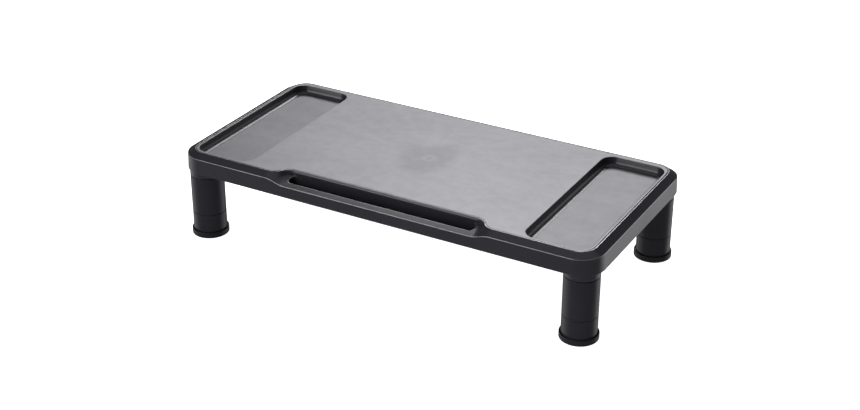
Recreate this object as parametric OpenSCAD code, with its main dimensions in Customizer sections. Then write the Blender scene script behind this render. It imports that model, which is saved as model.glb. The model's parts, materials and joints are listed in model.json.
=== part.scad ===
// Monitor riser stand: a moulded platform on four legs made of push-fit sections.
// Millimetres. +X is the width, +Y points to the rear, +Z is up.
// The origin is on the desk surface, under the middle of the platform.

/* [Platform] */
// Width of the platform at the foot of its skirt
platform_w = 560; // [520:1:620]
// Depth of the platform at the foot of its skirt
platform_d = 267.4; // [260:0.2:320]
// Outer corner radius at the foot of the skirt
corner_r = 30; // [28:1:34]
// Height of the upright skirt
skirt_h = 19.7; // [18:0.1:26]
// How far the skirt leans in from its foot to its top
skirt_draft = 0.8; // [0.2:0.1:1.5]
// Height of the bevel between the skirt and the deck
bevel_h = 6.2; // [5:0.1:8]
// Width of the bevel, seen from above
bevel_w = 10; // [8:0.5:12]
// Wall thickness of the moulding
wall = 3; // [2.5:0.1:3.5]
// Depth of the stiffening ribs below the underside of the deck
rib_h = 6; // [3:0.5:8]

/* [Trays] */
// Width of each tray at the deck
tray_w = 82; // [60:1:90]
// Depth of the trays below the deck
tray_depth = 10.5; // [8:0.5:12]
// Distance from the side of the deck to the tray
tray_side_rim = 3.6; // [3:0.1:8]
// Distance from the front of the deck to the tray
tray_front_rim = 2.2; // [2:0.1:8]
// Distance from the rear of the deck to the tray
tray_rear_rim = 6.8; // [3:0.1:12]
// Corner radius of the trays at the deck
tray_r = 16; // [14:1:20]

/* [Front slot] */
// Length of the slot
slot_l = 250; // [180:2:260]
// Width of the slot
slot_w = 14; // [10:0.2:14.4]
// Corner radius of the slot
slot_r = 5.5; // [3:0.5:5.9]
// Depth of the slot's pocket below the deck
slot_depth = 22.5; // [18:0.5:23]
// How far the edge of the deck steps back behind the slot
ledge_step = 12.8; // [12:0.2:16]
// Drop of the front edge in front of the slot
ledge_drop = 5.2; // [4:0.2:6]
// Slope of the ledge that the slot is cut in, in degrees
ledge_slope = 12; // [8:1:16]
// Length of each curve at the ends of the ledge
ledge_run = 30; // [26:1:34]

/* [Legs] */
// Distance between the left and right legs, centre to centre
leg_span_x = 510; // [470:1:512]
// Distance between the front and rear legs, centre to centre
leg_span_y = 218.2; // [210:0.2:220]
// Outer diameter of the columns
column_d = 42; // [40:0.5:43]
// Length of the upper column that shows
upper_l = 50.5; // [40:0.5:80]
// Length of the lower column that shows
lower_l = 25; // [24:0.5:50]
// Height of the collar below the skirt
collar_h = 8.4; // [6:0.2:12]
// Wall thickness of the columns
column_wall = 3; // [2.6:0.1:3.4]
// Height of each spigot above its shoulder
spigot_h = 12; // [10:0.5:14]
// Radial clearance between a spigot and its socket
fit_gap = 0.06; // [0.03:0.01:0.1]

/* [Feet] */
// Outer diameter of a foot's flange
foot_d = 46.2; // [45:0.2:48]
// Height from the desk to the seat that the lower column stands on
foot_seat_h = 6.6; // [5.6:0.2:8]
// Height of the lip that stands up round the column
foot_lip_h = 1.4; // [1:0.2:2]
// Thickness of the non-slip pad
pad_t = 2; // [1.5:0.1:2.5]
// How far the pad stands out below the foot
pad_proud = 0.5; // [0.4:0.1:1]
// Diameter of the non-slip pad
pad_d = 40; // [30:1:41]

/* [Hidden] */
LEGS = ["front_left", "front_right", "rear_left", "rear_right"];

$fn = 96;
over = 1;  // how far a cutting shape runs past the face that it cuts

// Heights, from the desk up
lower_top_z = foot_seat_h + lower_l;
upper_top_z = lower_top_z + upper_l;
skirt_z = upper_top_z + collar_h;
edge_z = skirt_z + skirt_h;
deck_z = edge_z + bevel_h;
tray_floor_z = deck_z - tray_depth;
pocket_floor_z = deck_z - slot_depth;

// Deck outline, inside the bevel
deck_half_w = platform_w / 2 - skirt_draft - bevel_w;
deck_half_d = platform_d / 2 - skirt_draft - bevel_w;

// Trays
tray_front_y = -deck_half_d + tray_front_rim;
tray_rear_y = deck_half_d - tray_rear_rim;
tray_d = tray_rear_y - tray_front_y;
tray_x = deck_half_w - tray_side_rim - tray_w / 2;
tray_y = (tray_rear_y + tray_front_y) / 2;
tray_floor_r = 5;    // the rounding along the foot of the tray walls
tray_draft = 3;      // how far the tray walls lean in above that rounding

// Front ledge, with an S at each end of its back edge and a ramp at each end of its front edge
ledge_back_y = -deck_half_d + ledge_step;
ledge_end_x = 152;   // where the ledge meets the plain bevel
s_steps = 12;        // facets along each S
dip_run = 24;        // length of each ramp where the front edge drops
front_edge_y = -platform_d / 2 + skirt_draft;
ledge_z = edge_z - ledge_drop;
slot_y = ledge_back_y - slot_w / 2;

// Legs
column_r = column_d / 2;
bore_r = column_r - column_wall;
spigot_r = bore_r - fit_gap;
spigot_wall = 2.5;
web_t = 2.5;         // plate that closes the top of a column
end_gap = 0.5;       // free height above a seated spigot
rib_t = 2;           // ribs inside the legs and under the deck
edge_chamfer = 0.4;  // chamfer round the ends of the columns
deck_rib_pitch = 70;
rib_foot_z = deck_z - wall - rib_h;
pocket_wall = 2.5;
tub_overlap = 0.5;   // how far tubs and ribs run up into the deck
fillet_steps = 4;
lead_in = 0.8;       // chamfer at the tip of a spigot
lip_gap = 0.8;       // free space between a foot's lip and the column
foot_round = 1;      // chamfer round the top of a foot's lip
pad_groove_w = 1.6;
pad_groove_t = 0.6;

module at_leg(index) {
    side = index % 2 == 0 ? -1 : 1;
    end = index < 2 ? -1 : 1;
    translate([side * leg_span_x / 2, end * leg_span_y / 2, 0]) children();
}

// A block with a rounded outline, whose walls follow profile: [inset, z] pairs from the bottom up
module profiled_block(w, d, r, profile) {
    bottom_z = profile[0][1];
    top_z = profile[len(profile) - 1][1];
    side = [for (p = profile) [-p[0], p[1]]];
    for (turn = [0, 180]) {
        rotate([0, 0, turn]) half_bar(w / 2, d - 2 * r, side);
        rotate([0, 0, turn + 90]) half_bar(d / 2, w - 2 * r, side);
    }
    for (x = [-1, 1], y = [-1, 1]) {
        translate([x * (w / 2 - r), y * (d / 2 - r), 0])
            rotate_extrude()
                polygon(concat(
                    [[0, bottom_z]], [for (p = side) [r + p[0], p[1]]], [[0, top_z]]
                ));
    }
}

// A bar along Y from the middle out to x = half, with the profile on its outer face
module half_bar(half, length, side) {
    rotate([90, 0, 0])
        linear_extrude(length, center = true)
            polygon(concat(
                [[0, side[0][1]]],
                [for (p = side) [half + p[0], p[1]]],
                [[0, side[len(side) - 1][1]]]
            ));
}

// A rounded rectangle round the origin
module rounded_rect(w, d, r) {
    square([w - 2 * r, d], center = true);
    square([w, d - 2 * r], center = true);
    for (x = [-1, 1], y = [-1, 1]) translate([x * (w / 2 - r), y * (d / 2 - r)]) circle(r);
}

// How far an S curve of two equal arcs has fallen at the distance u along its run
function s_fall(u, run, depth) =
    let (r = (run * run + depth * depth) / (4 * depth))
    u < run / 2
        ? r - sqrt(r * r - u * u)
        : depth - r + sqrt(r * r - (run - u) * (run - u));

// A notch sunk below the X axis whose two ends are S curves
module s_notch(half_l, run, depth, reach) {
    right_end = [for (step = [0:s_steps])
        let (u = run * step / s_steps)
        [half_l - u, -s_fall(u, run, depth)]];
    left_end = [for (step = [s_steps:-1:0]) [-right_end[step][0], right_end[step][1]]];
    polygon(concat([[-half_l, reach], [half_l, reach]], right_end, left_end));
}

// A notch sunk below the X axis whose two ends are straight ramps
module ramped_notch(half_l, run, depth, reach) {
    polygon([
        [-half_l, reach], [-half_l, 0], [run - half_l, -depth],
        [half_l - run, -depth], [half_l, 0], [half_l, reach],
    ]);
}

// The space in front of the deck and above the sloping ledge, made larger all round by extra
module ledge_space(extra) {
    intersection() {
        translate([0, -deck_half_d, ledge_z - 10])
            linear_extrude(deck_z - ledge_z + 10 + over)
                mirror([0, 1, 0])
                    s_notch(ledge_end_x + extra, ledge_run, ledge_step + extra, bevel_w + 5);
        translate([0, front_edge_y, edge_z - extra])
            rotate([ledge_slope, 0, 0])
                rotate([90, 0, 0])
                    linear_extrude(100, center = true)
                        ramped_notch(ledge_end_x + extra, dip_run, ledge_drop, 30);
    }
}

module platform_outside() {
    profiled_block(platform_w, platform_d, corner_r, [
        [0, skirt_z], [skirt_draft, edge_z], [skirt_draft + bevel_w, deck_z]
    ]);
}

module platform_hollow() {
    slant = wall * sqrt(1 + pow(bevel_h / bevel_w, 2));
    inner_edge_z = edge_z + bevel_h * wall / bevel_w - slant;
    inner_deck_inset = skirt_draft + bevel_w + (slant - wall) * bevel_w / bevel_h;
    difference() {
        profiled_block(platform_w, platform_d, corner_r, [
            [wall, skirt_z - over], [wall + skirt_draft, inner_edge_z], [inner_deck_inset, deck_z - wall]
        ]);
        ledge_space(wall);
    }
}

module at_trays() {
    for (side = [-1, 1]) translate([side * tray_x, tray_y, 0]) children();
}

module tray_tub() {
    profiled_block(tray_w + 2 * wall, tray_d + 2 * wall, tray_r + wall, [
        [tray_draft + tray_floor_r, tray_floor_z - wall],
        [tray_draft, tray_floor_z - wall + tray_floor_r],
        [tray_draft, deck_z - wall + tub_overlap]
    ]);
}

module tray_cavity() {
    profiled_block(tray_w, tray_d, tray_r, concat(
        [for (step = [0:fillet_steps])
            let (a = 90 * step / fillet_steps)
            [tray_draft + tray_floor_r * (1 - sin(a)), tray_floor_z + tray_floor_r * (1 - cos(a))]],
        [[0, deck_z], [0, deck_z + over]]
    ));
}

module pocket_tub() {
    translate([0, slot_y, pocket_floor_z - pocket_wall])
        linear_extrude(deck_z - wall + tub_overlap - pocket_floor_z + pocket_wall)
            rounded_rect(slot_l + 2 * pocket_wall, slot_w + 2 * pocket_wall, slot_r + pocket_wall);
}

module pocket_cavity() {
    translate([0, slot_y, pocket_floor_z])
        linear_extrude(deck_z - pocket_floor_z + over)
            rounded_rect(slot_l, slot_w, slot_r);
}

module deck_ribs() {
    intersection() {
        platform_outside();
        for (step = [-2:2])
            translate([step * deck_rib_pitch - rib_t / 2, -platform_d / 2, rib_foot_z])
                cube([rib_t, platform_d, rib_h + tub_overlap]);
    }
}

module socket_tube() {
    translate([0, 0, upper_top_z])
        cylinder(h = tray_floor_z - over - upper_top_z, r = column_r);
}

module socket_bore() {
    translate([0, 0, upper_top_z - over])
        cylinder(h = tray_floor_z - wall - upper_top_z + over, r = bore_r);
}

// Two crossed ribs between two heights, which stiffen a round bore and stop the spigot below them
module crossed_ribs(from_z, to_z) {
    for (turn = [45, 135])
        rotate([0, 0, turn])
            translate([-bore_r - rib_t / 2, -rib_t / 2, from_z])
                cube([2 * bore_r + rib_t, rib_t, to_z - from_z]);
}

module platform() {
    color("dimgray") {
        difference() {
            union() {
                difference() {
                    platform_outside();
                    platform_hollow();
                }
                at_trays() tray_tub();
                pocket_tub();
                deck_ribs();
                for (index = [0:3]) at_leg(index) socket_tube();
            }
            ledge_space(0);
            at_trays() tray_cavity();
            pocket_cavity();
            for (index = [0:3]) at_leg(index) socket_bore();
        }
        for (index = [0:3])
            at_leg(index) crossed_ribs(upper_top_z + spigot_h + end_gap, tray_floor_z - wall + tub_overlap);
    }
}

// A column section: a tube that is closed near its top, with a spigot above that
module column(bottom_z, length) {
    top_z = bottom_z + length;
    web_z = top_z - web_t;
    spigot_top_z = top_z + spigot_h;
    color("dimgray") {
        rotate_extrude()
            polygon([
                [0, web_z], [bore_r, web_z], [bore_r, bottom_z],
                [column_r - edge_chamfer, bottom_z], [column_r, bottom_z + edge_chamfer],
                [column_r, top_z - edge_chamfer], [column_r - edge_chamfer, top_z],
                [spigot_r, top_z], [spigot_r, spigot_top_z - lead_in],
                [spigot_r - lead_in, spigot_top_z], [spigot_r - spigot_wall, spigot_top_z],
                [spigot_r - spigot_wall, top_z], [0, top_z],
            ]);
        crossed_ribs(bottom_z + spigot_h + end_gap, web_z + web_t / 2);
    }
}

module upper_column() {
    column(lower_top_z, upper_l);
}

module lower_column() {
    column(foot_seat_h, lower_l);
}

module foot() {
    lip_z = foot_seat_h + foot_lip_h;
    spigot_top_z = foot_seat_h + spigot_h;
    foot_r = foot_d / 2;
    pad_seat_r = pad_d / 2 + 0.1;
    hollow_z = foot_seat_h - 2;
    color("#262628")
        rotate_extrude()
            polygon([
                [0, pad_t], [pad_seat_r, pad_t], [pad_seat_r, pad_proud],
                [foot_r - edge_chamfer, pad_proud], [foot_r, pad_proud + edge_chamfer],
                [foot_r, lip_z - foot_round], [foot_r - foot_round, lip_z],
                [column_r + lip_gap, lip_z], [column_r + lip_gap, foot_seat_h],
                [spigot_r, foot_seat_h], [spigot_r, spigot_top_z - lead_in],
                [spigot_r - lead_in, spigot_top_z], [spigot_r - spigot_wall, spigot_top_z],
                [spigot_r - spigot_wall, hollow_z], [0, hollow_z],
            ]);
}

module pad() {
    pad_r = pad_d / 2;
    color("#161616")
        difference() {
            cylinder(h = pad_t, r = pad_r);
            for (ring_r = [pad_r * 0.4, pad_r * 0.75])
                translate([0, 0, -over])
                    difference() {
                        cylinder(h = over + pad_groove_t, r = ring_r + pad_groove_w / 2);
                        translate([0, 0, -over])
                            cylinder(h = 3 * over + pad_groove_t, r = ring_r - pad_groove_w / 2);
                    }
        }
}

platform();
for (index = [0:3]) {
    leg = LEGS[index];
    at_leg(index) upper_column();
    at_leg(index) lower_column();
    at_leg(index) foot();
    at_leg(index) pad();
}
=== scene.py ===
# Looks of the monitor riser stand. Shapes are worked out in millimetres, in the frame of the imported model,
# and turned into metres when a mesh is made. X is the width, -Y the front with the slot, Z is up.
import json
import math

import bmesh
import bpy
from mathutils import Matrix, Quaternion, Vector
from mathutils.geometry import tessellate_polygon


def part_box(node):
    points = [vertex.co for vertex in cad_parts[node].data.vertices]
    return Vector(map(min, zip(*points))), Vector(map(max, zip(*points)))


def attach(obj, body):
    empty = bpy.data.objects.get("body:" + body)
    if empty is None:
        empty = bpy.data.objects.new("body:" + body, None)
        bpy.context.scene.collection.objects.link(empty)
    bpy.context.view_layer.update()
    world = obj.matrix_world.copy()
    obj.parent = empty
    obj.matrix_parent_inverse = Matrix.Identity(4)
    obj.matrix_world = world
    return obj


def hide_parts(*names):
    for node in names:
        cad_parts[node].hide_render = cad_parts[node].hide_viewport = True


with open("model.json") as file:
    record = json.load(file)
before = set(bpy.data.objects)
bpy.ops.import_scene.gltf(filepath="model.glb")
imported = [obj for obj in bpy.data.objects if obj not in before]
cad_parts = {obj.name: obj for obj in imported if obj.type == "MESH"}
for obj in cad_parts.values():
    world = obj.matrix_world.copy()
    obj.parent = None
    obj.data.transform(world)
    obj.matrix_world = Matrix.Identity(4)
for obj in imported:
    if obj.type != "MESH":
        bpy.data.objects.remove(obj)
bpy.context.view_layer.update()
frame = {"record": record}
MM = 0.001


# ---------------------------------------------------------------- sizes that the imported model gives

def box_mm(node):
    return [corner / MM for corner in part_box(node)]


platform_low, platform_high = box_mm("platform")
upper_low, upper_high = box_mm("front_left_upper_column")
lower_low = box_mm("front_left_lower_column")[0]
foot_low, foot_high = box_mm("front_left_foot")
pad_low, pad_high = box_mm("front_left_pad")

HALF_W = platform_high.x
HALF_D = platform_high.y
DECK_Z = platform_high.z
COLLAR_Z = platform_low.z
COLUMN_R = (upper_high.x - upper_low.x) / 2
LEG_X = -(upper_high.x + upper_low.x) / 2
LEG_Y = -(upper_high.y + upper_low.y) / 2
JOINT_Z = upper_low.z
SEAT_Z = lower_low.z
SPIGOT_H = upper_high.z - COLLAR_Z
FOOT_R = (foot_high.x - foot_low.x) / 2
FOOT_Z = foot_low.z
PAD_R = (pad_high.x - pad_low.x) / 2
PAD_T = pad_high.z

# ---------------------------------------------------------------- sizes of the details

COLLAR_H = 8.4
SKIRT_Z = COLLAR_Z + COLLAR_H
SKIRT_DRAFT = 0.8
CORNER_R = 30
BEVEL_H = 6.2
BEVEL_W = 10
BEVEL_RELIEF = 1.8    # how much narrower the bevel is along the front and the rear
SIDE_LIFT = 1         # how much higher its outer edge is along the sides
EDGE_Z = DECK_Z - BEVEL_H
WALL = 3
CEILING_Z = DECK_Z - WALL
DECK_HALF_W = HALF_W - SKIRT_DRAFT - BEVEL_W
DECK_HALF_D = HALF_D - SKIRT_DRAFT - BEVEL_W
EDGE_ROUND_R = 0.9
EDGE_STEPS = 5

# Rim: the rounding where the bevel meets the deck, and the fine groove inside it
BEVEL_ANGLE = math.atan2(BEVEL_H, BEVEL_W)
PLAIN_ROUND_R = 1.2
PLAIN_EDGE = SKIRT_DRAFT + BEVEL_W + PLAIN_ROUND_R * math.tan(BEVEL_ANGLE / 2)
ROUND_STEPS = 8
# Rows of the groove, from the rim in: distance from the edge of the deck, and height against the deck
GROOVE_ROWS = [
    (0.15, 0), (0.42, 0), (0.5, -0.06), (0.58, -0.4), (0.85, -1.1),
    (1.0, -1.1), (1.28, -0.4), (1.36, -0.06), (1.44, 0), (1.55, 0),
]
GROOVE_SIDE_SCALE = 1.35    # how much wider it is along the sides and the rear
LEDGE_GROOVE_DEPTH = 0.25   # how deep it is behind the slot, against its depth elsewhere

# Places of the platform's finishes in its list of materials
WALL_FINISH, EDGE_HIGHLIGHT_FINISH, DECK_FINISH, TRAY_FINISH = range(4)

# Slot, and the ledge in front of the deck, which it is cut in
LEDGE_END = 152
LEDGE_RUN = 30
DIP_RUN = 26
LEDGE_DROP = 5.2
LEDGE_SLOPE = math.radians(12)
LEDGE_ROUND_R = 2.7
FOOT_STEPS = 4
LEDGE_STEP = 12.8     # how far the edge of the deck steps back behind the slot
SLOT_BACK_Y = -DECK_HALF_D + LEDGE_STEP
SLOT_W = 14
SLOT_HALF_L = 125
SLOT_R = 5.5
SLOT_LIP_R = 0.7
SLOT_DEPTH = 22.5
POCKET_Z = DECK_Z - SLOT_DEPTH
POCKET_WALL = 2.5
SLOT_STRAIGHT = SLOT_HALF_L - SLOT_R
SLOT_END = SLOT_HALF_L + SLOT_LIP_R
SLOT_ARC_FRONT_Y = SLOT_BACK_Y - SLOT_W + SLOT_R
SLOT_ARC_BACK_Y = SLOT_BACK_Y - SLOT_R
LEDGE_FOOT_Z = EDGE_Z - LEDGE_DROP + (SLOT_BACK_Y + HALF_D - SKIRT_DRAFT) * math.tan(LEDGE_SLOPE)
EDGE_STEP = SLOT_BACK_Y + LEDGE_ROUND_R + HALF_D - PLAIN_EDGE + BEVEL_RELIEF
WALL_DROP = DECK_Z - LEDGE_ROUND_R - LEDGE_FOOT_Z
FRONT_SHARE = 0.627   # where the slot's front and back edges lie on the ledge's slope
BACK_SHARE = 0.759
INNER_FRONT_ROW = 2
CEILING_INSET = 0.51
CEILING_OVERHANG = 1.7
INNER_WALL_DROP = 6.1

# Trays
TRAY_W = 80.8
TRAY_R = 16
TRAY_SIDE_RIM = 4.8
TRAY_FRONT_RIM = 2.8
TRAY_REAR_RIM = 6.8
TRAY_DRAFT = 2.8
TRAY_FLOOR_R = 6.2
TRAY_LIP_R = 0.6
LIP_ROWS = 6
TRAY_DEPTH = 10.5
TRAY_FLOOR_Z = DECK_Z - TRAY_DEPTH
TUB_WALL = 1.8
GATE_STEPS = 32
# Rings of the gate mark from the outside in: radius, and height against the deck
GATE_ROWS = [
    (3.4, 0), (3.1, 0), (2.8, -0.18), (2.3, -0.22),
    (2.0, -0.05), (1.7, 0), (0.9, 0), (0.6, -0.1),
]

# Legs and ribs
COLUMN_WALL = 3
FIT_GAP = 0.06        # free space between a spigot and its bore, on the radius
BORE_R = COLUMN_R - COLUMN_WALL
SPIGOT_R = BORE_R - FIT_GAP
SPIGOT_WALL = 2.5
WEB_T = 2.5
SPIGOT_LEAD_IN = 0.8
GAP_DEPTH = 1.3       # how far the shadow gap at the top of a column section goes in
UPPER_GAP_H = 0.8     # and how high it is
LOWER_GAP_H = 0.4
FOOT_LIP_H = 1.4      # height of a foot's lip above the seat of the column
FOOT_LIP_GAP = 0.8    # free space between that lip and the column
PAD_SEAT_GAP = 0.1
PAD_GROOVE_T = 0.6
RIB_T = 2
RIB_H = 6
RIB_FOOT_Z = CEILING_Z - RIB_H
DECK_RIB_PITCH = 70
END_GAP = 0.5         # free height above a seated spigot
EMBED = 0.5           # how far ribs sink into what they join
LATHE_STEPS = 128


# ---------------------------------------------------------------- curves

def mix(a, b, share):
    return a + (b - a) * share


def smooth(share):
    share = min(max(share, 0), 1)
    return share * share * (3 - 2 * share)


def fillet(before, corner, after, radius, steps):
    """Points of an arc that rounds a corner between two straight lines."""
    a = (before - corner).normalized()
    b = (after - corner).normalized()
    half = a.angle(b) / 2
    if half > math.radians(89):
        return [corner.copy() for _ in range(steps + 1)]
    centre = corner + (a + b).normalized() * radius / math.sin(half)
    start = corner + a * radius / math.tan(half) - centre
    end = corner + b * radius / math.tan(half) - centre
    return [centre + start.slerp(end, step / steps).normalized() * radius for step in range(steps + 1)]


def foot_blend(before, corner, after, radius):
    """Rounds the crease at the foot of the deck's wall, as far as there is room for it."""
    a = before - corner
    b = after - corner
    if radius <= 0.01 or a.length < 0.01 or b.length < 0.01:
        return [corner.copy() for _ in range(FOOT_STEPS + 1)]
    half = a.angle(b) / 2
    room = 0.9 * min(a.length, b.length) * math.tan(half)
    return fillet(before, corner, after, min(radius, room), FOOT_STEPS)


def s_rise(u, run, depth):
    """Height of an S curve of two equal arcs, at the distance u along its run."""
    radius = (run * run + depth * depth) / (4 * depth)
    if u <= 0:
        return 0
    if u >= run:
        return depth
    if u < run / 2:
        return radius - math.sqrt(radius * radius - u * u)
    return depth - radius + math.sqrt(radius * radius - (run - u) ** 2)


def ledge_share(x):
    """0 where the front edge of the deck is plain, 1 where it has stepped all the way back."""
    return s_rise(LEDGE_END - abs(x), LEDGE_RUN, EDGE_STEP) / EDGE_STEP


def dip_share(x):
    """0 where the front edge of the platform is plain, 1 where it has dropped all the way."""
    return smooth((LEDGE_END - 1 - abs(x)) / DIP_RUN)


def plan(point, z):
    return Vector((point[0], point[1], z))


def on_line(a, b, y):
    """Height of the line between a and b where it passes y."""
    return mix(a.z, b.z, (y - a.y) / (b.y - a.y))


# ---------------------------------------------------------------- meshes

class Skin:
    """A mesh in the making, in millimetres. Points that coincide become one vertex."""

    def __init__(self):
        self.points = []
        self.faces = []
        self.finishes = []
        self.known = {}

    def add(self, point):
        key = tuple(round(value, 3) + 0.0 for value in point)
        if key not in self.known:
            self.known[key] = len(self.points)
            self.points.append(point.copy())
        return self.known[key]

    def face(self, *corners, finish=WALL_FINISH):
        ids = [self.add(corner) for corner in corners]
        ids = [one for place, one in enumerate(ids) if one != ids[place - 1]]
        if len(ids) > 2:
            self.faces.append(ids)
            self.finishes.append(finish)

    def tube(self, rings, finish=WALL_FINISH):
        """Joins closed rings of points, one after the other."""
        for ring, other in zip(rings, rings[1:]):
            for place in range(len(ring)):
                self.face(ring[place - 1], ring[place], other[place], other[place - 1], finish=finish)

    def cap(self, outline, holes=(), finish=WALL_FINISH):
        """Fills a flat outline, leaving its holes open."""
        loops = [outline, *holes]
        corners = [corner for loop in loops for corner in loop]
        for triangle in tessellate_polygon(loops):
            self.face(*(corners[one] for one in triangle), finish=finish)

    def to_object(self, name):
        mesh = bpy.data.meshes.new(name)
        mesh.from_pydata([point * MM for point in self.points], [], self.faces)
        mesh.polygons.foreach_set("material_index", self.finishes)
        piece = bpy.data.objects.new(name, mesh)
        bpy.context.scene.collection.objects.link(piece)
        tidy(piece)
        return piece


def tidy(piece, sharp_degrees=35):
    """Turns all faces outwards, and shades them smooth up to a sharp edge."""
    form = bmesh.new()
    form.from_mesh(piece.data)
    bmesh.ops.recalc_face_normals(form, faces=form.faces)
    for face in form.faces:
        face.smooth = True
    for edge in form.edges:
        edge.smooth = edge.calc_face_angle(math.pi) < math.radians(sharp_degrees)
    form.to_mesh(piece.data)
    form.free()


def even_shading(piece):
    """Lets the large flat faces decide the shading at the edges of small roundings."""
    weigh = piece.modifiers.new("even_shading", "WEIGHTED_NORMAL")
    weigh.keep_sharp = True


def lathe(name, profile, centre):
    """A round solid. profile is a closed outline of (radius, height) points.
    Those at radius 0 are on the axis."""
    skin = Skin()
    turns = [math.tau * step / LATHE_STEPS for step in range(LATHE_STEPS)]
    rings = [
        [Vector((centre[0] + r * math.cos(a), centre[1] + r * math.sin(a), z)) for a in turns]
        for r, z in profile
    ]
    skin.tube(rings + rings[:1])
    return skin.to_object(name)


def plate(name, outline, low, high):
    """A flat plate between two places along X. outline goes along Y and Z."""
    skin = Skin()
    sides = [[Vector((x, y, z)) for y, z in outline] for x in (low, high)]
    skin.tube(sides)
    skin.cap(sides[0])
    skin.cap(sides[1])
    return skin.to_object(name)


def unite(piece, parts):
    """Unites a piece with the solids in parts, and removes them."""
    group = bpy.data.collections.new(piece.name + "_parts")
    for part in parts:
        bpy.context.scene.collection.objects.unlink(part)
        group.objects.link(part)
    union = piece.modifiers.new("union", "BOOLEAN")
    union.operation = "UNION"
    union.solver = "EXACT"
    union.operand_type = "COLLECTION"
    union.collection = group
    graph = bpy.context.evaluated_depsgraph_get()
    made = bpy.data.meshes.new_from_object(piece.evaluated_get(graph))
    piece.modifiers.clear()
    piece.data = made
    for part in parts:
        bpy.data.objects.remove(part)
    bpy.data.collections.remove(group)
    tidy(piece)


# ---------------------------------------------------------------- platform

def rim_stations():
    """Places round the foot of the skirt: (x, y, outward x, outward y).
    They are closer together where the ledge bends."""
    arc_reach = SLOT_END - SLOT_STRAIGHT
    half_front = [HALF_W - CORNER_R, 225, 195, 172, 160]
    half_front += [LEDGE_END + 3 - 1.5 * step for step in range(18)]
    half_front += [SLOT_STRAIGHT + arc_reach * math.sin(math.radians(turn)) for turn in range(90, 0, -15)]
    half_front += [SLOT_STRAIGHT, 112, 95, 75, 55, 35, 12]
    front = [-x for x in half_front] + half_front[::-1]
    half_side = [HALF_D - CORNER_R, 80, 50, 18]
    side = [-y for y in half_side] + half_side[::-1]
    half_rear = [HALF_W - CORNER_R, 200, 140, 80, 25]
    rear = half_rear + [-x for x in half_rear[::-1]]
    corner_steps = 20
    places = [(x, -HALF_D, 0, -1) for x in front]
    for first, x, y, straight in (
        (-90, 1, -1, [(HALF_W, y, 1, 0) for y in side]),
        (0, 1, 1, [(x, HALF_D, 0, 1) for x in rear]),
        (90, -1, 1, [(-HALF_W, -y, -1, 0) for y in side]),
        (180, -1, -1, []),
    ):
        for step in range(1, corner_steps):
            turn = math.radians(first + 90 * step / corner_steps)
            out_x = math.cos(turn)
            out_y = math.sin(turn)
            places.append((
                x * (HALF_W - CORNER_R) + CORNER_R * out_x,
                y * (HALF_D - CORNER_R) + CORNER_R * out_y,
                out_x, out_y,
            ))
        places += straight
    return places


def slot_turn(x):
    """How far round the slot's corner the station x is: 0 on the straight, a quarter turn at the end."""
    return math.asin(min(max((abs(x) - SLOT_STRAIGHT) / (SLOT_END - SLOT_STRAIGHT), 0), 1))


def slot_edge(x, grow, back):
    """A point of the slot's outline grown by grow, at the place of the station x."""
    turn = slot_turn(x)
    radius = SLOT_R + grow
    reach = math.copysign(min(abs(x), SLOT_STRAIGHT) + radius * math.sin(turn), x)
    if back:
        return Vector((reach, SLOT_ARC_BACK_Y + radius * math.cos(turn)))
    return Vector((reach, SLOT_ARC_FRONT_Y - radius * math.cos(turn)))


def slot_lip(x, back):
    """The slot's lip is rounded at the front and the ends, and runs out towards the wall behind it."""
    return SLOT_LIP_R * smooth(slot_turn(x) / math.radians(75)) if back else SLOT_LIP_R


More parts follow.
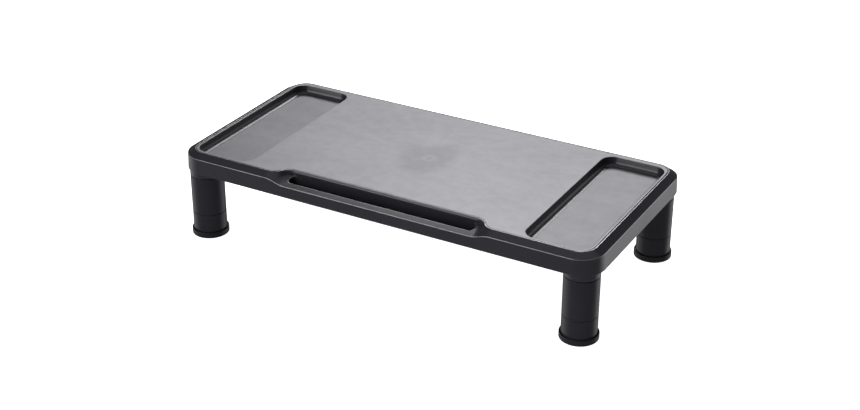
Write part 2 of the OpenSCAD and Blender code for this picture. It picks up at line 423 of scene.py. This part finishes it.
class Section:
    """One section of the platform's shell, at a place on its rim."""

    def __init__(self, station):
        x, y, out_x, out_y = station
        front = out_y == -1 and abs(x) < LEDGE_END
        share = ledge_share(x) if front else 0
        dip = LEDGE_DROP * dip_share(x) if front else 0
        self.x = x
        self.slot = front and abs(x) <= SLOT_END + 0.001

        def at(inset, z):
            return Vector((x - out_x * inset, y - out_y * inset, z))

        # The edge of the flat deck, and the way out from there
        inset_y = PLAIN_EDGE - BEVEL_RELIEF
        edge = Vector((x - out_x * PLAIN_EDGE, y - out_y * inset_y + share * EDGE_STEP))
        out = Vector((out_x, out_y))
        if front:
            nudge = 0.05
            rise = (ledge_share(x + nudge) - ledge_share(x - nudge)) * EDGE_STEP / (2 * nudge)
            out = Vector((rise, -1)).normalized()

        def from_edge(way_out, z):
            return plan(edge + out * way_out, z)

        radius = mix(PLAIN_ROUND_R, LEDGE_ROUND_R, share)
        angle = mix(BEVEL_ANGLE, math.pi / 2, share)
        rounding = []
        for step in range(ROUND_STEPS + 1):
            turn = angle * (1 - step / ROUND_STEPS)
            rounding.append(from_edge(radius * math.sin(turn), DECK_Z - radius * (1 - math.cos(turn))))
        top = rounding[0]
        drop = WALL_DROP * share + 4 * share * (1 - share)
        foot = from_edge(radius * math.sin(angle) + drop * math.cos(angle), top.z - drop * math.sin(angle))
        corner = at(SKIRT_DRAFT, EDGE_Z - dip + SIDE_LIFT * out_x * out_x)
        self.slope = (corner, foot)

        # Outer rows, from the inner edge of the bottom lip up to the deck
        skirt_foot = at(0, SKIRT_Z)
        rows = [at(WALL, SKIRT_Z + 0.5), at(WALL - 0.15, SKIRT_Z + 0.15), at(WALL - 0.5, SKIRT_Z)]
        rows += fillet(at(WALL, SKIRT_Z), skirt_foot, corner, 0.5, 3)
        rows += [skirt_foot.lerp(corner, part) for part in (0.06, 0.91)]
        # The rounding at the top of the skirt takes the edge finish, whose lighter colour paints a highlight
        # line along it.
        finishes = {len(rows) + step: EDGE_HIGHLIGHT_FINISH for step in range(EDGE_STEPS)}
        rows += fillet(skirt_foot, corner, foot, EDGE_ROUND_R, EDGE_STEPS)
        start = rows[-1]
        if self.slot:
            front_hole, back_hole = (self.lip_point(back, 0) for back in (False, True))
        else:
            front_hole = corner.lerp(foot, FRONT_SHARE)
            back_hole = corner.lerp(foot, BACK_SHARE)
        rows += [start.lerp(front_hole, part) for part in (0.06, 0.35, 0.7, 0.94)]
        self.front_row = len(rows)
        rows += [front_hole, back_hole]
        rows += foot_blend(back_hole, foot, top, mix(0, 9, smooth((abs(x) - SLOT_STRAIGHT - 3) / 18)))
        rows.append(rows[-1].lerp(top, 0.5))
        # Behind the slot, the texture of the deck runs down over the rounding. Elsewhere the rim takes the
        # edge finish, whose lighter colour paints a highlight line along it.
        behind_slot = share > 0.5
        rim_finish = DECK_FINISH if behind_slot else EDGE_HIGHLIGHT_FINISH
        last_step = ROUND_STEPS + (len(GROOVE_ROWS) if behind_slot else 2)
        finishes |= {len(rows) + step: rim_finish for step in range(ROUND_STEPS // 2, last_step)}
        rows += rounding
        stretch = mix(GROOVE_SIDE_SCALE, 1, max(-out_y, 0))
        depth = mix(1, LEDGE_GROOVE_DEPTH, share)
        rows += [from_edge(-inset * stretch, DECK_Z + z * depth) for inset, z in GROOVE_ROWS]
        finishes[len(rows) - 2] = DECK_FINISH
        self.outer = rows
        self.finishes = finishes

        # Inner rows, from the same lip up to the edge of the ceiling
        ceiling = from_edge(mix(-CEILING_INSET, CEILING_OVERHANG, share), CEILING_Z)
        inner_foot = plan(ceiling, CEILING_Z - share * INNER_WALL_DROP)
        inner_corner = at(WALL + SKIRT_DRAFT, EDGE_Z - dip - mix(1.67, 2.43, share))
        if self.slot:
            front_in, back_in = (plan(slot_edge(x, POCKET_WALL, back), 0) for back in (False, True))
            front_in.z = on_line(inner_corner, inner_foot, front_in.y)
            back_in.z = on_line(inner_corner, inner_foot, back_in.y)
        else:
            front_in = inner_corner.lerp(inner_foot, 0.52)
            back_in = inner_corner.lerp(inner_foot, 0.66)
        self.inner = [rows[0], inner_corner, front_in, back_in, inner_foot, ceiling]

    def lip_point(self, back, turn):
        """A point of the slot's rounded lip, from the ledge (turn 0) to the slot's wall (a quarter turn)."""
        lip = slot_lip(self.x, back)
        spot = slot_edge(self.x, lip * (1 - math.sin(turn)), back)
        return plan(spot, on_line(*self.slope, spot.y) - lip * (1 - math.cos(turn)))


def rounded_loop(half_x, half_y, radius, steps=12):
    """Corner centres and ways out of a rounded rectangle, anticlockwise."""
    loop = []
    for first, x, y in ((0, 1, 1), (90, -1, 1), (180, -1, -1), (270, 1, -1)):
        for step in range(steps + 1):
            turn = math.radians(first + 90 * step / steps)
            loop.append((x * (half_x - radius), y * (half_y - radius), math.cos(turn), math.sin(turn)))
    return loop


def tray_ring(side, inset, z):
    """A ring of a tray, inset from its outline at the deck."""
    half_x = TRAY_W / 2
    half_y = (2 * DECK_HALF_D - TRAY_FRONT_RIM - TRAY_REAR_RIM) / 2
    mid_x = side * (DECK_HALF_W - TRAY_SIDE_RIM - half_x)
    mid_y = (TRAY_FRONT_RIM - TRAY_REAR_RIM) / 2
    return [
        Vector((mid_x + x + out_x * (TRAY_R - inset), mid_y + y + out_y * (TRAY_R - inset), z))
        for x, y, out_x, out_y in rounded_loop(half_x, half_y, TRAY_R)
    ]


def tray_profile():
    """(inset, z) points from the deck, down the wall and in to the floor of a tray."""
    lip = Vector((0, DECK_Z, 0))
    foot = Vector((TRAY_DRAFT, TRAY_FLOOR_Z, 0))
    lip_arc = fillet(lip - Vector((5, 0, 0)), lip, foot, TRAY_LIP_R, 4)
    foot_arc = fillet(lip, foot, foot + Vector((30, 0, 0)), TRAY_FLOOR_R, 7)
    points = [lip_arc[0] - Vector((0.1, 0, 0))] + lip_arc
    points += [lip_arc[-1].lerp(foot_arc[0], part) for part in (0.15, 0.85)]
    points += foot_arc + [foot_arc[-1] + Vector((0.8, 0, 0))]
    return [(point.x, point.y) for point in points]


def add_slot(skin, sections):
    """The slot's lip and pocket, and the pocket's outside under the deck."""
    slotted = [section for section in sections if section.slot]

    def ring(make_point):
        return [make_point(one, False) for one in slotted] + [make_point(one, True) for one in slotted[::-1]]

    rings = [ring(lambda one, back: one.lip_point(back, turn)) for turn in
             (math.radians(degrees) for degrees in (0, 22.5, 45, 67.5, 90))]
    rings += [ring(lambda one, back: plan(slot_edge(one.x, -inset, back), z)) for inset, z in
              ((0, POCKET_Z + 1), (0.3, POCKET_Z + 0.3), (1, POCKET_Z))]
    # The slot's rounded lip takes the edge finish, whose lighter colour paints a highlight line round it.
    skin.tube(rings[:5], finish=EDGE_HIGHLIGHT_FINISH)
    skin.tube(rings[4:])
    skin.cap(rings[-1])
    outside = ring(lambda one, back: one.inner[INNER_FRONT_ROW + back])
    under = [plan(point, POCKET_Z - POCKET_WALL) for point in outside]
    skin.tube([outside, under])
    skin.cap(under)


def shell():
    """The platform's moulding without its ribs and sockets, as one closed skin."""
    skin = Skin()
    sections = [Section(station) for station in rim_stations()]
    for this, other in zip(sections, sections[1:] + sections[:1]):
        open_between = this.slot and other.slot
        for rows, others, hole_row, finishes in (
            (this.outer, other.outer, this.front_row, this.finishes),
            (this.inner, other.inner, INNER_FRONT_ROW, {}),
        ):
            for row in range(len(rows) - 1):
                if row != hole_row or not open_between:
                    skin.face(rows[row], others[row], others[row + 1], rows[row + 1],
                              finish=finishes.get(row, WALL_FINISH))
    add_slot(skin, sections)

    deck_holes = []
    ceiling_holes = []
    for side in (-1, 1):
        rings = [tray_ring(side, inset, z) for inset, z in tray_profile()]
        tub = [tray_ring(side, inset - TUB_WALL, z) for inset, z in (
            (0, CEILING_Z), (1.2, TRAY_FLOOR_Z + 2.2),
            (2.7, TRAY_FLOOR_Z - 0.6), (5.2, TRAY_FLOOR_Z - TUB_WALL),
        )]
        skin.tube(rings[:LIP_ROWS], finish=DECK_FINISH)
        skin.tube(rings[LIP_ROWS - 1:])
        skin.cap(rings[-1], finish=TRAY_FINISH)
        deck_holes.append(rings[0])
        skin.tube(tub)
        skin.cap(tub[-1])
        ceiling_holes.append(tub[0])

    # Gate mark in the middle of the deck, where the plastic was let into the mould
    turns = [math.tau * step / GATE_STEPS for step in range(GATE_STEPS)]
    gate = [[Vector((r * math.cos(a), r * math.sin(a), DECK_Z + z)) for a in turns] for r, z in GATE_ROWS]
    skin.tube(gate, finish=DECK_FINISH)
    skin.cap(gate[-1], finish=DECK_FINISH)
    deck_holes.append(gate[0])

    skin.cap([section.outer[-1] for section in sections], deck_holes, finish=DECK_FINISH)
    skin.cap([section.inner[-1] for section in sections], ceiling_holes)
    return skin.to_object("riser_platform")


def rib_outline(x):
    """Side view of the rib under the deck at x, which sinks a little into the walls at both its ends."""
    front = Section((x, -HALF_D, 0, -1)).inner
    rear = Section((x, HALF_D, 0, 1)).inner
    roof = CEILING_Z + EMBED
    front_corner, front_foot, front_top = front[1], front[-2], front[-1]
    if RIB_FOOT_Z > front_corner.z:
        share = min((RIB_FOOT_Z - front_corner.z) / (front_foot.z - front_corner.z), 1)
        start_y = mix(front_corner.y, front_foot.y, share)
    else:
        start_y = front_corner.y
    return [
        (start_y - EMBED, RIB_FOOT_Z), (rear[1].y + EMBED, RIB_FOOT_Z), (rear[1].y + EMBED, rear[1].z),
        (rear[-1].y + EMBED, roof), (front_top.y - EMBED, roof),
        (front_foot.y - EMBED, max(front_foot.z, RIB_FOOT_Z + 0.2)),
    ]


def ribs():
    """The low ribs under the deck, from front to rear."""
    places = [step * DECK_RIB_PITCH for step in range(-2, 3)]
    return [plate("rib", rib_outline(x), x - RIB_T / 2, x + RIB_T / 2) for x in places]


def crossed_ribs(centre, low, high):
    """Two ribs that cross in a round bore, and stop the spigot below them. Their ends sink into its wall."""
    skin = Skin()
    reach, half = BORE_R + 1, RIB_T / 2
    outline = []
    for quarter in range(4):
        turn = math.radians(45 + 90 * quarter)
        along = Vector((math.cos(turn), math.sin(turn)))
        side = Vector((-along.y, along.x))
        outline += [along * reach - side * half, along * reach + side * half, (along + side) * half]
    rings = [[Vector((centre[0] + spot.x, centre[1] + spot.y, z)) for spot in outline] for z in (low, high)]
    skin.tube(rings)
    for ring in rings:
        skin.cap(ring)
    return skin.to_object("crossed_ribs")


def socket(centre):
    """The socket that an upper column is pushed into, with its stop ribs."""
    top = TRAY_FLOOR_Z - 1
    tube = lathe("socket", [
        (BORE_R, COLLAR_Z + 0.4), (BORE_R + 0.4, COLLAR_Z), (COLUMN_R - 0.5, COLLAR_Z),
        (COLUMN_R - 0.15, COLLAR_Z + 0.15), (COLUMN_R, COLLAR_Z + 0.5), (COLUMN_R, top), (BORE_R, top),
    ], centre)
    return [tube, crossed_ribs(centre, COLLAR_Z + SPIGOT_H + END_GAP, top - 0.2)]


# ---------------------------------------------------------------- legs

def corner_arc(r, z, radius, first, steps=4):
    """A quarter-round corner of a lathe profile.
    (r, z) is its centre, first its starting angle in degrees."""
    turns = [math.radians(first + 90 * step / steps) for step in range(steps + 1)]
    return [(r + radius * math.cos(turn), z + radius * math.sin(turn)) for turn in turns]


def spigot_profile(shoulder_z):
    """The spigot on top of a section, from its shoulder to its inner edge."""
    top = shoulder_z + SPIGOT_H
    return [
        (SPIGOT_R + 0.3, shoulder_z), (SPIGOT_R, shoulder_z + 0.3),
        (SPIGOT_R, top - SPIGOT_LEAD_IN), (SPIGOT_R - SPIGOT_LEAD_IN, top),
        (SPIGOT_R - SPIGOT_WALL + 0.3, top), (SPIGOT_R - SPIGOT_WALL, top - 0.3),
    ]


def column(name, centre, bottom, top, gap):
    """A column section: a tube that is open below, and closed above with a spigot on it.
    gap is the height of the shadow gap at its top."""
    web_z = top - WEB_T
    tube = lathe(name, [
        (0, web_z), (BORE_R - 1, web_z), (BORE_R, web_z - 1), (BORE_R, bottom + 0.4), (BORE_R + 0.4, bottom),
        *corner_arc(COLUMN_R - 0.5, bottom + 0.5, 0.5, -90),
        *corner_arc(COLUMN_R - 0.35, top - gap - 0.35, 0.35, 0),
        (COLUMN_R - GAP_DEPTH, top - gap), (COLUMN_R - GAP_DEPTH, top),
        *spigot_profile(top), (SPIGOT_R - SPIGOT_WALL, top), (0, top),
    ], centre)
    unite(tube, [crossed_ribs(centre, bottom + SPIGOT_H + END_GAP, web_z + WEB_T / 2)])
    return tube


def foot(name, centre):
    """The foot: a round plate with a raised lip that the column stands in, and a spigot."""
    lip_z = SEAT_Z + FOOT_LIP_H
    lip_r = COLUMN_R + FOOT_LIP_GAP
    seat_r = PAD_R + PAD_SEAT_GAP
    return lathe(name, [
        (0, PAD_T), (seat_r, PAD_T), (seat_r, FOOT_Z + 0.2), (seat_r + 0.2, FOOT_Z),
        *corner_arc(FOOT_R - 0.7, FOOT_Z + 0.7, 0.7, -90),
        *corner_arc(FOOT_R - 0.9, lip_z - 0.9, 0.9, 0),
        *corner_arc(lip_r + 0.3, lip_z - 0.3, 0.3, 90, 2),
        (lip_r, SEAT_Z), *spigot_profile(SEAT_Z), (SPIGOT_R - SPIGOT_WALL, SEAT_Z - 2), (0, SEAT_Z - 2),
    ], centre)


def pad(name, centre):
    """The rubber pad under a foot, with two round grooves in its sole."""
    sole = [(0, 0)]
    for ring_r in (PAD_R * 0.4, PAD_R * 0.75):
        sole += [
            (ring_r - 0.8, 0), (ring_r - 0.5, PAD_GROOVE_T), (ring_r + 0.5, PAD_GROOVE_T), (ring_r + 0.8, 0),
        ]
    return lathe(name, sole + [*corner_arc(PAD_R - 0.4, 0.4, 0.4, -90), (PAD_R, PAD_T), (0, PAD_T)], centre)


# ---------------------------------------------------------------- materials

class Nodes:
    """A node tree, with short ways to add what is used here."""

    def __init__(self, tree):
        self.nodes = tree.nodes
        self.links = tree.links

    def node(self, kind, **inputs):
        made = self.nodes.new(kind)
        for key, value in inputs.items():
            target = made.inputs[key.replace("_", " ")]
            if isinstance(value, bpy.types.NodeSocket):
                self.links.new(value, target)
            else:
                target.default_value = value
        return made

    def spread(self, value, low, high, from_low=0.3, from_high=0.7):
        made = self.node("ShaderNodeMapRange", Value=value)
        made.inputs["From Min"].default_value = from_low
        made.inputs["From Max"].default_value = from_high
        made.inputs["To Min"].default_value = low
        made.inputs["To Max"].default_value = high
        return made.outputs["Result"]

    def sum(self, first, second, operation="ADD"):
        return self.reckon("ShaderNodeMath", operation, first, second).outputs["Value"]

    def combine(self, operation, *values):
        """Vector arithmetic."""
        made = self.reckon("ShaderNodeVectorMath", operation, *values)
        return made.outputs["Value" if operation in ("LENGTH", "DOT_PRODUCT") else "Vector"]

    def reckon(self, kind, operation, *values):
        made = self.nodes.new(kind)
        made.operation = operation
        for target, value in zip(made.inputs, values):
            if isinstance(value, bpy.types.NodeSocket):
                self.links.new(value, target)
            else:
                target.default_value = value
        return made

    def blend_colour(self, share, first, second):
        made = self.nodes.new("ShaderNodeMix")
        made.data_type = "RGBA"
        self.links.new(share, made.inputs["Factor"])
        for side, value in (("A", first), ("B", second)):
            if isinstance(value, bpy.types.NodeSocket):
                self.links.new(value, made.inputs[side])
            else:
                made.inputs[side].default_value = (*value, 1)
        return made.outputs["Result"]


class Finish(Nodes):
    """A procedural material in the making."""

    def __init__(self, name, **settings):
        self.material = bpy.data.materials.new(name)
        self.material.use_nodes = True
        super().__init__(self.material.node_tree)
        self.shader = self.nodes["Principled BSDF"]
        for socket_name, value in settings.items():
            self.shader.inputs[socket_name.replace("_", " ")].default_value = value
        self.place = self.nodes.new("ShaderNodeTexCoord").outputs["Object"]

    def noise(self, scale, detail=2.0, roughness=0.5, stretch=None):
        place = self.place
        if stretch:
            place = self.node("ShaderNodeMapping", Vector=place, Scale=stretch).outputs["Vector"]
        made = self.node("ShaderNodeTexNoise", Vector=place, Scale=scale, Detail=detail, Roughness=roughness)
        return made.outputs["Fac"]

    def bump(self, height, strength, distance):
        made = self.node("ShaderNodeBump", Height=height, Strength=strength, Distance=distance)
        if self.shader.inputs["Normal"].links:
            self.links.new(self.shader.inputs["Normal"].links[0].from_socket, made.inputs["Normal"])
        self.links.new(made.outputs["Normal"], self.shader.inputs["Normal"])

    def set(self, socket_name, value):
        self.links.new(value, self.shader.inputs[socket_name])


def plastic(name, dark, light, rough, level, grain=0.0):
    """Satin moulded plastic: cloudy colour and gloss, and if wanted a fine grain."""
    made = Finish(name, Specular_IOR_Level=level)
    clouds = made.spread(made.noise(9, 1), 0, 1)
    made.set("Base Color", made.blend_colour(clouds, dark, light))
    made.set("Roughness", made.spread(made.noise(20, 1), rough - 0.02, rough + 0.02))
    made.bump(made.noise(900, 2), grain, 0.0001)
    return made


DECK_DARK = (0.025, 0.0245, 0.029)
DECK_LIGHT = (0.065, 0.0645, 0.071)
DECK_ROUGH = 0.45
DECK_GLOSS = 0.64
TRAY_GLOSS = 0.47


def deck_plastic(name, level):
    """The platform's level faces: finely textured, with the marks that the flow of the plastic has left."""
    made = Finish(name, Specular_IOR_Level=level)
    flat = made.combine("MULTIPLY", made.place, (1, 1, 0))
    reach = made.combine("LENGTH", flat)

    # A dull patch round the gate, with rays running out of it, and mottling all over
    wander = made.spread(made.noise(22, 3), -0.012, 0.012)
    patch = made.spread(made.sum(reach, wander), 1, 0, 0.026, 0.046)
    heart = made.spread(reach, 1, 0, 0.006, 0.012)
    ways = made.node("ShaderNodeTexNoise", Vector=made.combine("NORMALIZE", flat), Scale=7, Detail=3)
    ray_strength = made.spread(reach, 0.2, 1, 0.03, 0.16)
    rays = made.sum(made.spread(ways.outputs["Fac"], -1, 1), ray_strength, "MULTIPLY")
    mottle = made.spread(made.noise(70, 4, 0.6), -1, 1)
    broad = made.spread(made.noise(9, 2), -1, 1)
    marks = 0.5
    for mark, strength in ((rays, 0.12), (mottle, 0.16), (broad, 0.12), (patch, -0.4), (heart, 0.3)):
        marks = made.sum(made.sum(mark, strength, "MULTIPLY"), marks)
    made.set("Base Color", made.blend_colour(marks, DECK_DARK, DECK_LIGHT))
    made.set("Roughness", made.spread(marks, DECK_ROUGH + 0.035, DECK_ROUGH - 0.035, 0, 1))
    made.bump(made.noise(1800, 2), 0.05, 0.0001)
    return made


# ---------------------------------------------------------------- camera, light and floor

# Camera: angles in degrees round the object, above it and about the line of sight, lengths in millimetres
CAMERA_AZIMUTH = 29.224
CAMERA_ELEVATION = 27.358
CAMERA_ROLL = 0.199
CAMERA_DISTANCE = 1920.27
CAMERA_LENS = 65.49
SENSOR_WIDTH = 36
AIM_HEIGHT = 80
AIM_RIGHT = 1.307
AIM_DOWN = 24.618

FLOOR_HALF = 6000     # half the side of the floor, and the radius of the backdrop
FLOOR_DROP = 0.05     # how far the floor lies below the pads
BACKDROP_STEPS = 48


def look_at(thing, target):
    thing.rotation_euler = (target - thing.location).to_track_quat("-Z", "Y").to_euler()


def area_light(name, place, target, width, height, watts, colour=(1, 1, 1)):
    data = bpy.data.lights.new(name, "AREA")
    data.shape = "RECTANGLE"
    data.size = width
    data.size_y = height
    data.energy = watts
    data.color = colour
    light = bpy.data.objects.new(name, data)
    bpy.context.scene.collection.objects.link(light)
    light.location = place
    look_at(light, Vector(target))
    return light


def set_camera():
    azimuth = math.radians(CAMERA_AZIMUTH)
    elevation = math.radians(CAMERA_ELEVATION)
    roll = math.radians(CAMERA_ROLL)
    back = Vector((math.sin(azimuth) * math.cos(elevation), -math.cos(azimuth) * math.cos(elevation),
                   math.sin(elevation)))
    right = Vector((math.cos(azimuth), math.sin(azimuth), 0))
    up = back.cross(right)
    target = Vector((0, 0, AIM_HEIGHT)) + right * AIM_RIGHT - up * AIM_DOWN
    data = bpy.data.cameras.new("camera")
    data.sensor_width = SENSOR_WIDTH
    data.lens = CAMERA_LENS
    camera = bpy.data.objects.new("camera", data)
    bpy.context.scene.collection.objects.link(camera)
    camera.location = (target + back * CAMERA_DISTANCE) * MM
    turn = back.to_track_quat("Z", "Y").to_matrix()
    turn.rotate(Quaternion(back, roll))
    camera.rotation_euler = turn.to_euler()
    bpy.context.scene.camera = camera


set_camera()

floor_skin = Skin()
floor_skin.face(*(
    Vector((x * FLOOR_HALF, y * FLOOR_HALF, -FLOOR_DROP)) for x, y in ((-1, -1), (1, -1), (1, 1), (-1, 1))
))
floor = floor_skin.to_object("studio_floor")
floor_finish = Finish("studio_white", Roughness=0.9, Specular_IOR_Level=0.0)
floor_finish.set("Base Color", floor_finish.blend_colour(
    floor_finish.noise(1.5), (0.86, 0.86, 0.86), (0.88, 0.88, 0.88)))
floor_finish.shader.inputs["Emission Color"].default_value = (1, 1, 1, 1)
floor_finish.shader.inputs["Emission Strength"].default_value = 1.0
floor.data.materials.append(floor_finish.material)

# A white backdrop all round, which only the camera sees
backdrop_skin = Skin()
backdrop_skin.tube([
    [Vector((math.cos(turn) * math.cos(rise), math.sin(turn) * math.cos(rise), math.sin(rise))) * FLOOR_HALF
     for turn in (math.tau * step / BACKDROP_STEPS for step in range(BACKDROP_STEPS))]
    for rise in (math.radians(degrees) for degrees in range(0, 91, 10))
])
backdrop = backdrop_skin.to_object("studio_backdrop")
backdrop.data.materials.append(floor_finish.material)
backdrop.visible_diffuse = False
backdrop.visible_glossy = False
backdrop.visible_shadow = False

# What the object reflects: a dark room over a paler ground, with soft glows in front, on the left and
# behind on the right. The floor itself is left out of reflections, because it is lit far brighter
# than the ground that the object should mirror.
floor.visible_glossy = False
world = bpy.data.worlds.new("studio")
bpy.context.scene.world = world
world.use_nodes = True
room = Nodes(world.node_tree)
way = room.nodes.new("ShaderNodeTexCoord").outputs["Generated"]
height = room.node("ShaderNodeSeparateXYZ", Vector=way).outputs["Z"]
strength = room.spread(height, 0.3, 0.1, -0.5, -0.3)
# Each glow: its direction, how near to it the glow starts, and how strong it is
GLOWS = [
    ((-0.43, -0.86, 0.28), 0.92, 8),
    ((-0.88, -0.12, -0.46), 0.82, 1.1),
    ((0.62, 0.78, -0.08), 0.8, 2.4),
]
for direction, start, amount in GLOWS:
    nearness = room.combine("DOT_PRODUCT", way, direction)
    strength = room.sum(room.spread(nearness, 0, amount, start, 1), strength)
room.links.new(strength, room.nodes["Background"].inputs["Strength"])
room.nodes["Background"].inputs["Color"].default_value = (1, 1, 1, 1)
bpy.context.scene.view_settings.view_transform = "Standard"

area_light("back_softbox", (-0.79, 1.9, 1.68), (0, 0, 0.1), 1.55, 0.62, 53, (1, 0.99, 1.03))
area_light("top_softbox", (0, 0, 4), (0, 0, 0), 5, 5, 75)
area_light("front_softbox", (-1.15, -1.95, 1.25), (0, 0, 0.1), 0.7, 0.5, 13)

# ---------------------------------------------------------------- the object

wall_finish = plastic("platform_satin", (0.013, 0.0127, 0.0160), (0.0145, 0.0142, 0.0178), 0.3, 0.24)
# The edge finish is the wall plastic made lighter and glossier. Its lighter colour paints highlight lines on
# the rims, lips and edges that take it.
edge_highlight_finish = plastic("platform_edge_painted_highlight", (0.045, 0.0445, 0.050), (0.060, 0.0595, 0.065), 0.28, 0.9)
column_finish = plastic("column_satin", (0.010, 0.0098, 0.0125), (0.013, 0.0127, 0.016), 0.3, 0.12, 0.01)
foot_finish = plastic("foot_matte", (0.008, 0.008, 0.009), (0.011, 0.011, 0.012), 0.42, 0.08, 0.02)
pad_finish = plastic("pad_rubber_matte", (0.010, 0.010, 0.010), (0.015, 0.015, 0.015), 0.75, 0.2, 0.1)
deck_finish = deck_plastic("platform_textured", DECK_GLOSS)
tray_finish = deck_plastic("platform_tray_floor", TRAY_GLOSS)

LEGS = {"front_left": (-1, -1), "front_right": (1, -1), "rear_left": (-1, 1), "rear_right": (1, 1)}
centres = {leg: (x * LEG_X, y * LEG_Y) for leg, (x, y) in LEGS.items()}
bodies = frame["record"]["behaviour"]["bodies"]
body_of_node = {node: body for body, nodes in bodies.items() for node in nodes}


def place(piece, node, slot_name, finish):
    piece.data.materials.append(finish.material)
    even_shading(piece)
    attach(piece, body_of_node[node])
    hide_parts(node)


platform = shell()
# In the order of WALL_FINISH to TRAY_FINISH
for finish in (wall_finish, edge_highlight_finish, deck_finish, tray_finish):
    platform.data.materials.append(finish.material)
swallowed = ribs()
for centre in centres.values():
    swallowed += socket(centre)
unite(platform, swallowed)
even_shading(platform)
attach(platform, body_of_node["platform"])
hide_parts("platform")

for leg, centre in centres.items():
    upper = column(leg + "_upper_tube", centre, JOINT_Z, COLLAR_Z, UPPER_GAP_H)
    place(upper, leg + "_upper_column", "column_plastic", column_finish)
    lower = column(leg + "_lower_tube", centre, SEAT_Z, JOINT_Z, LOWER_GAP_H)
    place(lower, leg + "_lower_column", "column_plastic", column_finish)
    place(foot(leg + "_foot_cap", centre), leg + "_foot", "foot_plastic", foot_finish)
    place(pad(leg + "_pad_disc", centre), leg + "_pad", "pad_rubber", pad_finish)
